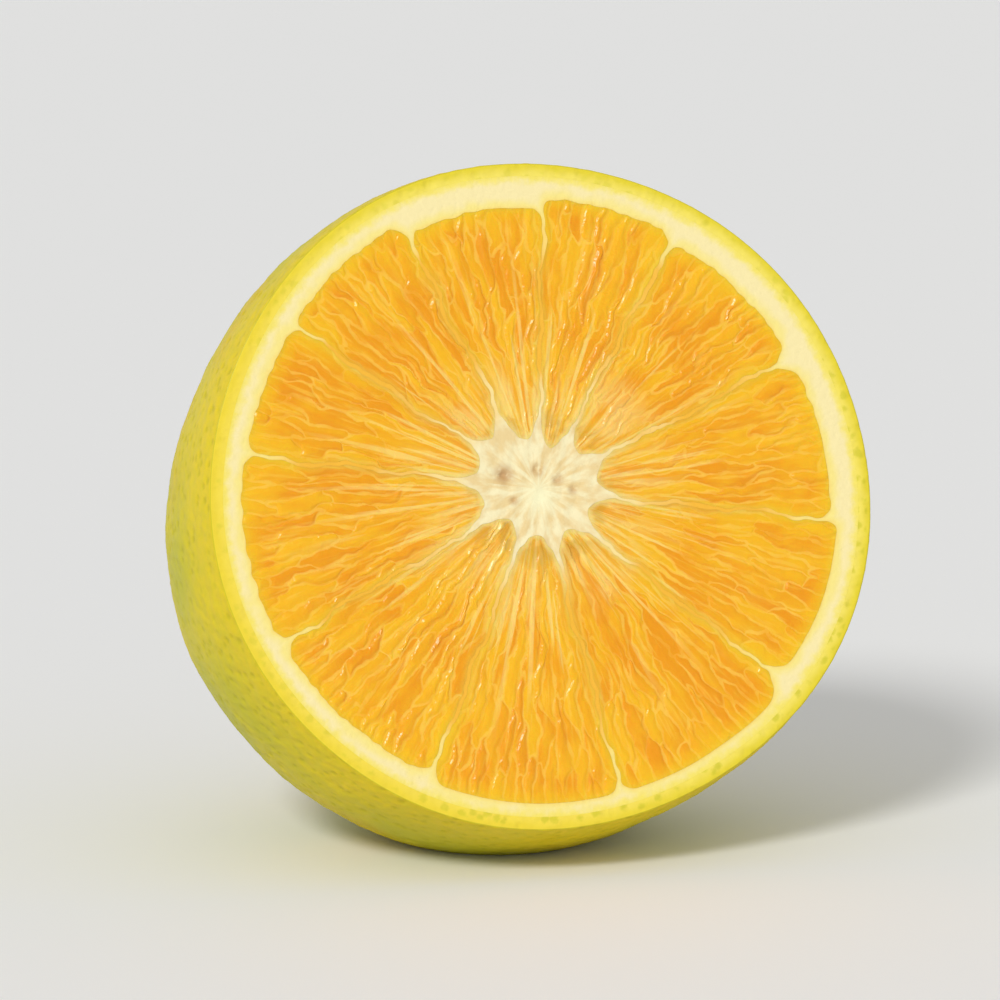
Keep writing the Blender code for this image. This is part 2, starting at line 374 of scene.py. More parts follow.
# %% Two kinds of board
class Finish(Board):
    """A material. Its shader's uniform values are set once, and its varying ones are wired."""

    def __init__(self, name, uniform):
        self.material = bpy.data.materials.new(name)
        self.material.use_nodes = True
        super().__init__(self.material.node_tree)
        self.shader = self.tree.nodes["Principled BSDF"]
        for socket, value in uniform.items():
            self.shader.inputs[socket].default_value = value
        self.place = self.note("own_mm", "Vector")

    def note(self, name, output="Fac"):
        return self.node("ShaderNodeAttribute", {"attribute_name": name}, {}, output)

    def wire(self, socket, wire):
        self.tree.links.new(wire.socket, self.shader.inputs[socket])

    def done(self):
        print(self.material.name, "finish:", len(self.tree.nodes), "nodes")
        return self.material

    def bump(self, height_mm):
        """Tilts the shading as if the surface stood this high."""
        sockets = {"Height": height_mm * MM, "Strength": 1.0, "Distance": 1.0}
        self.wire("Normal", self.node("ShaderNodeBump", {}, sockets))


class Relief(Board):
    """A geometry node tree that moves a piece's points and is then applied to its mesh."""

    def __init__(self, name):
        tree = bpy.data.node_groups.new(name, "GeometryNodeTree")
        tree.interface.new_socket("Geometry", in_out="INPUT", socket_type="NodeSocketGeometry")
        tree.interface.new_socket("Geometry", in_out="OUTPUT", socket_type="NodeSocketGeometry")
        super().__init__(tree)
        self.place = self.note("own_mm", "FLOAT_VECTOR")

    def note(self, name, kind="FLOAT"):
        return self.node("GeometryNodeInputNamedAttribute", {"data_type": kind}, {"Name": name})

    def raise_points(self, piece, height_mm):
        """Moves each point outwards by this many millimetres, and keeps the result."""
        entry = self.node("NodeGroupInput", {}, {})
        outwards = self.node("GeometryNodeInputNormal", {}, {})
        sockets = {0: outwards, "Scale": height_mm * MM}
        offset = self.node("ShaderNodeVectorMath", {"operation": "SCALE"}, sockets)
        moved = self.node("GeometryNodeSetPosition", {}, {"Geometry": entry, "Offset": offset})
        self.node("NodeGroupOutput", {}, {0: moved})
        piece.modifiers.new("relief", "NODES").node_group = self.tree
        shown = piece.evaluated_get(bpy.context.evaluated_depsgraph_get())
        shaped = bpy.data.meshes.new_from_object(shown)
        piece.modifiers.clear()
        piece.data = shaped


# %% [markdown]
# ## The skin's relief
# Oil glands sit under the skin about a millimetre and a half apart, and each leaves a small pit, here round
# each of many scattered points. Between the pits the skin swells into soft pebbles, and over a centimetre or
# so it waves gently. The waves die out at the cut, where the edge has to stay true, and at the flat spot,
# which has to touch the ground.

# %% Pores and waves
PORE_SPACING, PORE_DEPTH, PEBBLE_HEIGHT, WAVE_DEPTH = 1.45, 0.13, 0.25, 0.55  # millimetres
CUT_FADE, GROUND_FADE = (11.4, 5.0), (0.3 * MM, 4.0 * MM)  # over which the waves start
PIT_FADE = (0.0, 1.5 * MM)  # over which pits and pebbles start above the ground


def pore_share(board):
    """1 in the middle of an oil pore, 0 on the skin between pores."""
    wander = board.noise(0.6) * 0.35
    return board.step(board.cells(1.0 / PORE_SPACING) + wander, 0.60, 0.25)


def pebble_height(board):
    """The soft bumps between pores, in millimetres, with their tops near 0."""
    return (board.noise(0.75, 1.0) - 0.7) * PEBBLE_HEIGHT


def skin_relief(board):
    """How far the skin stands out from its even shape, in millimetres."""
    _, _, along = board.parts(board.place)
    _, _, height = board.parts(board.node("GeometryNodeInputPosition", {}, {}))
    free = board.step(along, *CUT_FADE) * board.step(height, *GROUND_FADE)
    waves = (board.noise(0.10, 1.0) - 0.75) * WAVE_DEPTH * free
    outside = board.step(board.note("depth"), 0.05, 0.0) * board.step(height, *PIT_FADE)
    return (waves + pebble_height(board) - pore_share(board) * PORE_DEPTH) * outside


# %% [markdown]
# ## The skin
# The skin is one thin bowl, open at the cut. It is built as rows from the navel out to the rim, over the
# rim's cut edge and back down the inside. A knife leaves the edge crisp, so only a tenth of a millimetre is
# rounded. The inside is hidden, so its rows quickly drop to a few points. Fine creases run into the navel's
# groove. The points' note is their depth under the skin's outside, for the cut edge's colours.

# %% Skin sizes
SKIN_INSET = 0.08 * MM  # keeps the fine skin inside the plain one
ZEST_THICKNESS = 1.6 * MM
LIP = 0.12 * MM  # of the rim, rounded over
RIM_AROUND, RIM_STEPS = 640, 6
# First and last share, points, rows.
OUTER_BANDS = ((0.0, 0.14, 160, 31), (0.14, 0.33, 320, 36), (0.33, 0.995, RIM_AROUND, 112))
INNER_BANDS = ((0.99, 320, 1), (0.97, 160, 1), (0.94, 80, 1), (0.88, 40, 12))  # first share, points, rows
CREASE_COUNT, CREASE_DEPTH, CREASE_TURN = 23, 0.30 * MM, 0.055
CREASE_RADIUS, CREASE_RUN = 6.6 * MM, 3.6 * MM


# %% Skin shape
def halved(turn):
    """The same turn, between minus and plus half a circle."""
    return (turn + math.pi) % (2.0 * math.pi) - math.pi


def creased_relief(from_navel, around):
    """The navel's relief with fine creases that run into its groove."""
    random = np.random.default_rng(7)
    creases = 0.0
    for turn in random.uniform(-math.pi, math.pi, CREASE_COUNT):
        aside = halved(around - turn)
        depth = CREASE_DEPTH * random.uniform(0.3, 1.0)
        reach = CREASE_RADIUS + random.uniform(-1.5, 2.5) * MM
        creases = creases + depth * bell(aside, CREASE_TURN) * bell(from_navel - reach, CREASE_RUN)
    return navel_relief(from_navel, around) + creases


def skin_body():
    skin = Body("depth")
    row = None
    for start, end, count, steps in OUTER_BANDS:
        for step in range(steps):
            share = start + (end - start) * (step + 1) / steps
            points = layer_row(share, count, SKIN_INSET, creased_relief, floor_inset=0.0)
            if row is None:
                first = row = skin.add_points(points, 0.0)
            else:
                row = skin.add_row(row, points, 0.0)
    skin.close(first, layer_row(0.0, 1, SKIN_INSET, creased_relief), 0.0)
    for turn in (0.0, math.pi / 4.0, math.pi / 2.0):
        depth = LIP * (1.0 - math.cos(turn))
        height = CUT_AHEAD - LIP * (1.0 - math.sin(turn))
        points = layer_row(1.0, RIM_AROUND, SKIN_INSET + depth, navel_relief, height)
        row = skin.add_row(row, points, depth / MM)
    for depth in np.linspace(LIP, ZEST_THICKNESS - SKIN_INSET, RIM_STEPS + 1)[1:]:
        row = skin.add_row(row, layer_row(1.0, RIM_AROUND, SKIN_INSET + depth, navel_dent), depth / MM)
    deepest = (ZEST_THICKNESS - SKIN_INSET) / MM
    for start, count, steps in INNER_BANDS:
        for share in start * (1.0 - np.arange(steps) / steps):
            row = skin.add_row(row, layer_row(share, count, ZEST_THICKNESS, navel_dent), deepest)
    skin.close(row, layer_row(0.0, 1, ZEST_THICKNESS, navel_dent), deepest)
    return skin


# %% [markdown]
# ## The outline of a segment
# Across the core, each segment is a wedge with a blunt tip and two round corners. No two are alike: walls
# stand at uneven angles, tips start nearer or farther from the middle, which leaves the core a ragged star,
# and corners are cut off by more or less pith. The same outline shapes the flesh and, a hair wider, its
# pocket.

# %% Segment sizes
CORE_CENTRE = np.array((-0.7, 0.6)) * MM  # where the core crosses the cut
WALL_DEGREES = (-151.7, -114.2, -77.7, -40.3, -7.9, 24.5, 58.2, 85.8, 114.8, 144.2, 171.5)
WALL_CORNERS = (1.7, 1.9, 1.7, 3.0, 1.1, 2.6, 1.7, 1.1, 1.6, 1.3, 1.4)  # radius at the rind, millimetres
TIPS = (5.0, 5.4, 6.0, 6.4, 7.2, 6.6, 5.0, 6.0, 8.2, 7.4, 6.8)  # reach of each flesh's tip, likewise
BULGES = (0.5, 1.3, 1.4, 0.3, -0.6, -0.7, 0.2, -0.9, 0.5, 0.4, 0.7)  # past an even rind, likewise
RIND_THICKNESS = 4.4 * MM
WALL_CLEAR = 0.20 * MM  # half a wall's thickness
SEAM = 0.012 * MM  # between pieces that grew together
TIP_LENGTH = 3.0 * MM  # over which a tip widens to the full wedge
NAVEL_PITH, NAVEL_PITH_WIDTH = 4.5 * MM, 15.0 * MM
SEGMENT_BACK = -33.6 * MM
CORNER_SHARE = 0.8  # of the half angle, where the reach near a wall is measured
ARC_POINTS = 24


# %% How far the flesh reaches
def flesh_reach(angle, height):
    """Distance from the core's middle to the rind, at this angle and height along the core."""
    ray = np.array((math.cos(angle), math.sin(angle)))
    near, far = 0.0, GIRTH_RADIUS
    for _ in range(HALVINGS):
        middle = (near + far) / 2.0
        flat = CORE_CENTRE + ray * middle
        point = np.array((*flat, height))
        distance = np.linalg.norm(point)
        inset = RIND_THICKNESS
        if height < 0.0:
            inset += NAVEL_PITH * bell(np.linalg.norm(flat), NAVEL_PITH_WIDTH)
        if distance < layer_radius(point[None] / distance, inset, unsunk, inset)[0]:
            near = middle
        else:
            far = middle
    return near


print("flesh reaches, mm:", [round(flesh_reach(turn, CUT_AHEAD) / MM, 1) for turn in (0.0, math.pi)])


# %% A segment and its outline
def evenly(points, count):
    """The same closed outline, with this many points evenly along it."""
    closed = np.concatenate([points, points[:1]])
    run = np.concatenate([[0.0], np.cumsum(np.linalg.norm(np.diff(closed, axis=0), axis=1))])
    wanted = run[-1] * np.arange(count) / count
    return np.stack([np.interp(wanted, run, closed[:, side]) for side in range(2)], axis=1)


class Segment:
    """One wedge of flesh between two walls."""

    def __init__(self, number):
        after = (number + 1) % len(WALL_DEGREES)
        first, second = WALL_DEGREES[number], WALL_DEGREES[after]
        if second < first:
            second += 360.0
        self.number = number
        self.halving = math.radians((first + second) / 2.0)
        self.half_angle = math.radians((second - first) / 2.0)
        self.tip, self.bulge = TIPS[number] * MM, BULGES[number] * MM
        self.corners = WALL_CORNERS[after] * MM, WALL_CORNERS[number] * MM

    def reaches(self, height):
        """Reach of the flesh at the wedge's middle and near its two walls."""
        edge_turn = CORNER_SHARE * self.half_angle
        turns = (self.halving, self.halving + edge_turn, self.halving - edge_turn)
        return [flesh_reach(turn, height) + self.bulge for turn in turns]

    def half_outline(self, middle_reach, edge_reach, corner_radius, grow):
        """Half the outline from its tip to its middle at the rind, with X along the wedge."""
        half_angle = self.half_angle
        clear = WALL_CLEAR + SEAM - grow
        outer = edge_reach + grow
        turn_limit = math.sin(CORNER_SHARE * half_angle)
        corner = min(corner_radius + grow, (outer * turn_limit - clear) / (1.0 + turn_limit))
        edge = half_angle - math.asin((clear + corner) / (outer - corner))
        tip_turns = np.linspace(0.0, math.pi / 2.0, ARC_POINTS)
        along = self.tip - grow + TIP_LENGTH * (1.0 - np.cos(tip_turns))
        aside = (along * math.tan(half_angle) - clear / math.cos(half_angle)) * np.sin(tip_turns)
        corner_turns = np.linspace(half_angle + math.pi / 2.0, edge, ARC_POINTS)
        corner_arc = corner * np.stack([np.cos(corner_turns), np.sin(corner_turns)], axis=1)
        corner_arc += (outer - corner) * np.array((math.cos(edge), math.sin(edge)))
        share = np.linspace(0.0, 1.0, ARC_POINTS)[1:]
        reach = outer + (middle_reach + grow - outer) * smooth_step(share, 0.0, 1.0)
        turns = edge * (1.0 - share)
        back_arc = np.stack([reach * np.cos(turns), reach * np.sin(turns)], axis=1)
        return np.concatenate([np.stack([along, aside], axis=1), corner_arc, back_arc])

    def outline(self, height, grow, count):
        """A closed row of flat points round the segment, at this height along the core."""
        middle_reach, upper_reach, lower_reach = self.reaches(height)
        upper = self.half_outline(middle_reach, upper_reach, self.corners[0], grow)
        lower = self.half_outline(middle_reach, lower_reach, self.corners[1], grow)
        outline = np.concatenate([lower * (1.0, -1.0), upper[-2:0:-1]])
        cosine, sine = math.cos(self.halving), math.sin(self.halving)
        return evenly(outline, count) @ np.array(((cosine, sine), (-sine, cosine))) + CORE_CENTRE


segments = [Segment(number) for number in range(len(WALL_DEGREES))]
widths = [round(2.0 * math.degrees(segment.half_angle), 1) for segment in segments]
print("widest and narrowest segment, degrees:", max(widths), min(widths))

# %% [markdown]
# ## Wavy walls
# Nothing that grows is ruled with a straight edge. One smooth warp bends walls and flesh sideways together,
# by up to half a millimetre halfway out. A second, finer one frays the outlines. Both die out before the
# skin.

# %% The warp
WAVER, FRAY = 0.30 * MM, 0.07 * MM


def wavered(flat):
    """Bends points of the cut face a little sideways, walls and flesh alike."""
    x, y = flat.T / MM
    reach = np.linalg.norm(flat - CORE_CENTRE, axis=1) / MM
    bend = WAVER * smooth_step(reach, 6.0, 14.0) * smooth_step(reach, 36.0, 28.0)
    fray = FRAY * smooth_step(reach, 37.0, 35.8)
    aside = np.sin(0.62 * y + 0.30 * x + 1.0) + 0.6 * np.sin(1.15 * x - 0.50 * y + 2.0)
    upward = np.sin(0.58 * x - 0.35 * y + 4.0) + 0.6 * np.sin(1.05 * y + 0.45 * x + 0.5)
    fray_aside = np.sin(2.3 * y + 1.3 * x) + np.sin(3.7 * x - 1.7 * y + 1.0)
    fray_upward = np.sin(2.2 * x - 1.4 * y + 2.0) + np.sin(3.4 * y + 2.1 * x + 5.0)
    moved = bend[:, None] * np.stack([aside, upward], axis=1)
    return flat + moved + fray[:, None] * np.stack([fray_aside, fray_upward], axis=1)


def placed(flat, height):
    """Flat points at a height along the core, warped and moved with the core's drift."""
    return drifted(np.column_stack([wavered(flat), np.broadcast_to(height, len(flat))]))


halfway = np.array(((20.0, 0.0),)) * MM
print("a point halfway out is bent by, mm:", ((wavered(halfway) - halfway) / MM).round(2))


# %% [markdown]
# ## A fine flat face
# A cut face has many details, so it needs small, even triangles everywhere, also round pockets of any shape.
# A lattice of points fills the face, and Delaunay's rule joins them into the roundest triangles that there
# are, while it keeps the outlines' edges. It also tells which loops cover each triangle, so those inside a
# pocket are easy to drop.

# %% Filling a face
FACE_SPACING = 0.15 * MM
LOOP_ROOM = 0.6 * FACE_SPACING  # kept free beside a loop
INSIDE_ONLY, TOLERANCE = 1, 1e-5  # for Delaunay's rule, the second in millimetres


def inside(points, loop):
    """Whether each point lies inside a loop that its own middle can see all round."""
    middle = loop.mean(axis=0)
    around = np.arctan2(*(loop - middle).T[::-1])
    order = np.argsort(around)
    radius = np.linalg.norm(loop - middle, axis=1)
    at = points - middle
    limit = np.interp(np.arctan2(at[:, 1], at[:, 0]), around[order], radius[order], period=2.0 * math.pi)
    return np.linalg.norm(at, axis=1) < limit


def clearance(points, loops):
    """Distance from each point to the nearest loop point."""
    stops = np.concatenate(loops)
    tree = kdtree.KDTree(len(stops))
    for number, (x, y) in enumerate(stops.tolist()):
        tree.insert((x, y, 0.0), number)
    tree.balance()
    return np.array([tree.find((x, y, 0.0))[2] for x, y in points.tolist()])


def filled_face(outer, holes):
    """Flat points and triangles of a face. Its loops' points come first, in their own order."""
    low, high = outer.min(axis=0), outer.max(axis=0)
    row_gap = FACE_SPACING * math.sqrt(3.0) / 2.0
    x, y = np.meshgrid(np.arange(low[0], high[0], FACE_SPACING), np.arange(low[1], high[1], row_gap))
    x[1::2] += FACE_SPACING / 2.0
    lattice = np.column_stack([x.ravel(), y.ravel()])
    lattice = lattice[inside(lattice, outer)]
    for hole in holes:
        lattice = lattice[~inside(lattice, hole)]
    lattice = lattice[clearance(lattice, [outer, *holes]) > LOOP_ROOM]
    loops, start = [], 0
    for loop in (outer, *holes):
        loops.append(list(range(start, start + len(loop))))
        start += len(loop)
    points = np.concatenate([outer, *holes, lattice])
    corners = [Vector(point) for point in (points / MM).tolist()]
    found = delaunay_2d_cdt(corners, [], loops, INSIDE_ONLY, TOLERANCE, True)
    triangles, covers = found[2], found[5]
    return points, [triangle for triangle, cover in zip(triangles, covers) if cover == [0]]


corners = np.array(((0.0, 0.0), (1.0, 0.0), (1.0, 1.0), (0.0, 1.0))) * MM
print("triangles in a square millimetre:", len(filled_face(evenly(corners, 28), [])[1]))


# %% [markdown]
# ## Juice sacs
# A segment is packed with juice sacs: long drops that hang from the rind side and point to the core. The
# knife cuts them open lengthwise, so on the face they are slim, blunt shapes, short and wide near the rind,
# long and thin near the core. To pack them, sacs are thrown at random and kept where there is still room for
# their width and length. A point of the face belongs to the sac it lies deepest in, and two sacs meet where
# both have an equal claim. Each gets its own swell and tone.

# %% Packing the sacs
SAC_TRIES = 3000
SAC_WIDTHS = (0.42, 0.88)  # half a sac's width near the core and near the rind, millimetres
SAC_LENGTHS = (7.0, 3.6)  # half its length, likewise
SAC_ROOM = 0.70  # least distance between two sacs, where 1 is just touching
TURN, REACH, WIDTH, LENGTH, TILT, LIFT, TONE = range(7)


def packed_sacs(segment):
    """A row for each sac: turn from the wedge's middle, reach, half sizes, tilt, lift and tone."""
    random = np.random.default_rng(100 + segment.number)
    tip, rim = segment.tip / MM - 1.0, segment.reaches(CUT_AHEAD)[0] / MM + 1.0
    sacs = np.empty((0, 7))
    for _ in range(SAC_TRIES):
        reach = math.sqrt(random.uniform(tip**2, rim**2))
        turn = random.uniform(-segment.half_angle, segment.half_angle)
        share = (reach - tip) / (rim - tip)
        width = (SAC_WIDTHS[0] + (SAC_WIDTHS[1] - SAC_WIDTHS[0]) * share) * random.uniform(0.8, 1.3)
        length = (SAC_LENGTHS[0] + (SAC_LENGTHS[1] - SAC_LENGTHS[0]) * share) * random.uniform(0.7, 1.3)
        across = (turn - sacs[:, TURN]) * reach / (width + sacs[:, WIDTH])
        along = (reach - sacs[:, REACH]) / (length + sacs[:, LENGTH])
        if np.all(np.hypot(across, along) > SAC_ROOM):
            more = (random.normal(0.0, 0.06), random.normal(0.0, 0.05), random.normal(0.5, 0.18))
            sacs = np.vstack([sacs, (turn, reach, width, length, *more)])
    return sacs


print("sacs in the first segment:", len(packed_sacs(segments[0])))


# %% Reading the sacs
def sac_pattern(segment, flat):
    """For flat points: millimetres to the nearest sac wall, the sac's lift and tone, place along it."""
    sacs = packed_sacs(segment)
    x, y = ((flat - CORE_CENTRE) / MM).T
    reach = np.hypot(x, y)[:, None]
    turn = halved(np.arctan2(y, x)[:, None] - segment.halving)
    ripple = np.sin(1.7 * x + 0.9 * y) * np.sin(1.3 * y - 1.1 * x + 1.0)
    frayed = reach + 0.5 * ripple[:, None]
    along = (frayed - sacs[:, REACH]) / sacs[:, LENGTH]
    wide = sacs[:, WIDTH] * (1.0 + 0.35 * np.clip(along, -1.0, 1.0))
    straight = sacs[:, TURN] + sacs[:, TILT] * (reach - sacs[:, REACH]) / reach
    across = ((turn - straight) * reach + 0.12 * np.sin(1.3 * frayed)) / wide
    far = np.hypot(across, along)
    pair = np.argpartition(far, 1, axis=1)[:, :2]
    first, second = np.take_along_axis(far, pair, axis=1).T
    slopes = (across / wide, along / sacs[:, LENGTH])
    rise = [np.take_along_axis(slope / far, pair, axis=1) for slope in slopes]
    steepness = np.hypot(*(side[:, 1] - side[:, 0] for side in rise))
    nearest = sacs[pair[:, 0]]
    lengthwise = np.take_along_axis(along, pair, axis=1)[:, 0]
    return (second - first) / np.maximum(steepness, 0.1), nearest[:, LIFT], nearest[:, TONE], lengthwise


# %% [markdown]
# ## The flesh
# Each segment is a closed wedge. Its face is a fine lattice, raised and lowered sac by sac. Its sides are
# plain rows that run back along the core, because only the face shows. Notes on its points: distance to the
# outline, distance to the nearest sac wall, and the sac's tone.

# %% Flesh shape
FLESH_AROUND, FLESH_ROWS = 560, 7
SAC_SWELL = 0.11 * MM
EDGE_FADE = 0.45 * MM  # over which the relief starts at the outline
LIGHTER_END = 0.12  # tone that a sac gains from its middle to its end at the rind
FLESH_SIDE = (0.0, 1.0, 0.5)  # notes where nothing shows: edge, wall and tone


def row_heights(rows):
    """Heights from the cut back to the segments' end, closer together there."""
    shares = np.sin(np.linspace(0.0, math.pi / 2.0, rows))
    return CUT_AHEAD + (SEGMENT_BACK - CUT_AHEAD) * shares


def flesh_body(segment):
    flesh = Body("edge", "wall", "tone")
    outlines = [segment.outline(height, 0.0, FLESH_AROUND) for height in row_heights(FLESH_ROWS)]
    flat, triangles = filled_face(outlines[0], [])
    edge = clearance(flat, outlines[:1])
    wall, lift, tone, lengthwise = sac_pattern(segment, flat)
    dome = smooth_step(wall, 0.0, 0.85)
    height = SAC_SWELL * (dome - 0.75) + lift * MM * smooth_step(wall, 0.0, 0.6)
    height = height * smooth_step(edge, 0.0, EDGE_FADE)
    flesh.faces += triangles
    flesh.add_points(placed(flat, CUT_AHEAD + height), edge / MM, wall, tone + LIGHTER_END * lengthwise)
    row = np.arange(FLESH_AROUND)
    for outline, row_height in zip(outlines[1:], row_heights(FLESH_ROWS)[1:]):
        row = flesh.add_row(row, placed(outline, row_height), *FLESH_SIDE)
    flesh.faces.append(row.tolist())
    return flesh


# %% [markdown]
# ## The pith
# Pith, walls and core grew together, so they are one closed body: a face with eleven pockets let into it,
# and the layer under the skin round its back. Strands that carried sap run up the core. Cut across, some
# have left small sunk spots. Notes on its points: depth under the skin's outside and distance to the flesh.

# %% Pith shape
PITH_AROUND = 512
SKIN_SEAM = 0.004 * MM  # between the skin and the pith
PITH_INSET = ZEST_THICKNESS + SKIN_SEAM
PITH_BANDS = ((0.995, 256, 1), (0.98, 128, 1), (0.95, 64, 14))  # first share, points, rows
POCKET_AROUND, POCKET_ROWS = 420, 5
POCKET_SIDE, PITH_BACK = (3.0, 0.0), (1.6, 3.0)  # notes where nothing shows: depth and edge
STRAND_SPOTS = (  # each strand's place on the cut, and its size
    (-4.8, 2.4, 1.0), (-0.7, 2.9, 0.7), (1.65, 1.65, 0.6), (3.46, 0.36, 0.5), (-3.77, -0.67, 0.5),
)


def pith_relief(flat):
    """Height of the cut pith: uneven in the core, sunk at its strands."""
    reach = np.linalg.norm(flat - CORE_CENTRE, axis=1) / MM
    x, y = flat.T / MM
    uneven = 0.06 * np.sin(1.9 * x + 0.8 * y) * np.sin(1.6 * y - 1.1 * x + 2.0) - 0.08
    height = uneven * smooth_step(reach, 8.0, 5.0)
    for spot_x, spot_y, size in STRAND_SPOTS:
        height = height - 0.35 * size * bell(np.hypot(x - spot_x, y - spot_y), 0.55 * size)
    return height * MM


def pith_body():
    pith = Body("depth", "edge")
    rim = layer_row(1.0, PITH_AROUND, PITH_INSET, navel_dent)[:, :2]
    heights = row_heights(POCKET_ROWS)
    pockets = [[segment.outline(height, SEAM, POCKET_AROUND) for height in heights] for segment in segments]
    holes = [rows[0] for rows in pockets]
    flat, triangles = filled_face(rim, holes)
    depth, edge = (PITH_INSET - SKIN_INSET + clearance(flat, [rim])) / MM, clearance(flat, holes) / MM
    pith.faces += triangles
    pith.add_points(placed(flat, CUT_AHEAD + pith_relief(flat) * smooth_step(edge, 0.0, 0.5)), depth, edge)
    start = PITH_AROUND
    for rows in pockets:
        row = np.arange(start, start + POCKET_AROUND)
        start += POCKET_AROUND
        for outline, height in zip(rows[1:], heights[1:]):
            row = pith.add_row(row, placed(outline, height), *POCKET_SIDE)
        pith.faces.append(row.tolist())
    row = np.arange(PITH_AROUND)
    for band_start, count, steps in PITH_BANDS:
        for share in band_start * (1.0 - np.arange(steps) / steps):
            row = pith.add_row(row, layer_row(share, count, PITH_INSET, navel_dent), *PITH_BACK)
    pith.close(row, layer_row(0.0, 1, PITH_INSET, navel_dent), *PITH_BACK)
    return pith


# %% [markdown]
# ## Spokes
# Most of a cut orange's pattern runs along spokes: fibres, veins and walls all leave the core like rays. So
# the finishes need to know how far round the core a point lies, and how far out. Noise that is stretched
# along those two numbers gives stripes that fan out by themselves. The turn has to jump from half a circle
# to minus half a circle somewhere, and a wall hides the jump.

# %% Turn and reach round the core
OPEN_TURN = math.radians(180.0 - WALL_DEGREES[-1])  # puts the jump of the turn on a wall


def spokes(board):
    """Reach from the core in millimetres, and a function for fine stripes along the spokes."""
    x, y, _ = board.parts(board.place)
    x = x - CORE_CENTRE[0] / MM
    y = y - CORE_CENTRE[1] / MM
    across = x * math.cos(OPEN_TURN) - y * math.sin(OPEN_TURN)
    upward = x * math.sin(OPEN_TURN) + y * math.cos(OPEN_TURN)
    turn = upward.maths("ARCTAN2", upward, across)
    reach = (x * x + y * y) ** 0.5

    def fibres(fineness, length):
        return board.noise(1.0, 3.0, board.joined(turn * fineness, reach * (1.0 / length)))

    return reach, fibres


# %% [markdown]
# ## The peel's finish
# An orange that ripened where nights are warm stays partly green: soft patches of lime, yellow and gold, a
# few centimetres across, with each oil pore a darker dot. Noise covers the whole fruit without a seam. All
# the shine comes from the wax: a thin coat over a dull skin, worn thinner in patches and in the pores, so
# the highlight breaks up into pebbles. Where the knife went through, the noted depth takes over: a line of
# dark oil at the edge, then yellow skin with glands cut open, more golden on one side of the fruit than on
# the other.

# %% Peel
LIME, YELLOW, GOLD = (0.53, 0.50, 0.018), (0.70, 0.57, 0.015), (0.83, 0.60, 0.014)
BLUSH, PORE = (0.78, 0.42, 0.016), (0.40, 0.36, 0.012)
# GROOVE_SHADE is painted shade, a darker olive for the navel's groove; SCAR is the brown scar at the groove's
# bottom.
GROOVE_SHADE, SCAR = (0.40, 0.33, 0.02), (0.25, 0.15, 0.05)  # in the navel's groove and at its bottom
CUT_SKIN, CUT_INNER, CUT_GOLDEN = (0.78, 0.64, 0.035), (0.91, 0.76, 0.13), (0.90, 0.68, 0.05)
CUT_GLAND, CUT_OIL = (0.62, 0.56, 0.03), (0.56, 0.50, 0.02)
NAVEL_POLE = drifted(np.array(((0.0, 0.0, -40.0 * MM),)))[0] / MM
print("the navel's bottom, mm:", NAVEL_POLE.round(1))


def peel_finish():
    peel = Finish("peel", {"Specular IOR Level": 0.0, "Coat Roughness": 0.26})
    across, upward, along = peel.parts(peel.place)
    depth = peel.note("depth")
    pores = pore_share(peel)
    skin = peel.mix(peel.step(peel.noise(0.045, 3.0), 0.38, 0.62), LIME, YELLOW)
    skin = peel.mix(peel.step(peel.noise(0.030), 0.55, 0.70) * 0.6, skin, BLUSH)
    skin = peel.mix(peel.step(along, -2.0, 11.0) * 0.65, skin, GOLD)
    skin = peel.mix(peel.step(peel.noise(0.8, 3.0), 0.35, 0.65) * 0.25, skin, LIME)
    skin = peel.mix(pores * 0.35, skin, PORE)
    from_pole = peel.distance(NAVEL_POLE)
    # Painted shade: the ring of the navel's groove is darkened towards olive.
    groove = peel.step(from_pole, 8.5, 6.5) * peel.step(from_pole, 3.8, 5.5)
    skin = peel.mix(groove * 0.4, skin, GROOVE_SHADE)
    skin = peel.mix(peel.step(from_pole, 3.6, 0.0) * 0.8, skin, SCAR)
    gland_edge = peel.cells(1.0 / 1.5) + peel.noise(1.6) * 0.5
    glands = peel.step(gland_edge, 0.72, 0.42) * peel.step(depth, 0.3, 0.7)
    cut = peel.mix(peel.step(depth + peel.noise(0.5) - 0.5, 0.1, 1.6), CUT_SKIN, CUT_INNER)
    cut = peel.mix(peel.step(across + upward * 0.5, 10.0, -30.0) * 0.6, cut, CUT_GOLDEN)
    greener = peel.step(across - upward, -10.0, 45.0) * 0.35 + 0.35
    cut = peel.mix(glands * greener, cut, CUT_GLAND)
    cut = peel.mix(peel.step(depth, 0.20, 0.06), cut, CUT_OIL)
    peel.wire("Base Color", peel.mix(peel.step(depth, 0.0, 0.1), skin, cut))
    rubbed = peel.noise(0.5) * 0.16 + pores * 0.10
    peel.wire("Roughness", rubbed + 0.33)
    peel.wire("Coat Weight", 0.45 - rubbed)
    fine = peel.noise(3.5) * 0.02
    peel.bump(pebble_height(peel) * 0.8 + fine - pores * 0.06)
    return peel.done()


# %% [markdown]
# ## The pith's finish
# Pith is a dry sponge, so it is matt and pale. It yellows towards the skin with a ragged border, and it is
# palest where it is thickest, between two segments. The walls are so thin that the flesh shines through
# them: they take its colour halfway out, and turn pale only near the rind and near the core. The core is
# streaked cream, with a brown spot where each strand of sap ran. The points' notes decide most of this, so
# the colours always fit the shape.

# %% Pith and core
CREAM, THICK = (0.93, 0.78, 0.24), (0.93, 0.80, 0.40)
YELLOWED, BESIDE_FLESH = (0.91, 0.76, 0.13), (0.93, 0.66, 0.14)
CORE_DARK, CORE_PALE = (0.84, 0.64, 0.30), (0.93, 0.83, 0.50)
CORE_PATCH, STRAND = (0.95, 0.90, 0.56), (0.50, 0.25, 0.08)
WALL_FADED, WALL_OUTER, WALL_INNER = (0.92, 0.48, 0.03), (0.97, 0.70, 0.18), (0.96, 0.80, 0.36)
PATCH_PLACE = (-0.67, -0.41)  # of the core's palest patch, millimetres


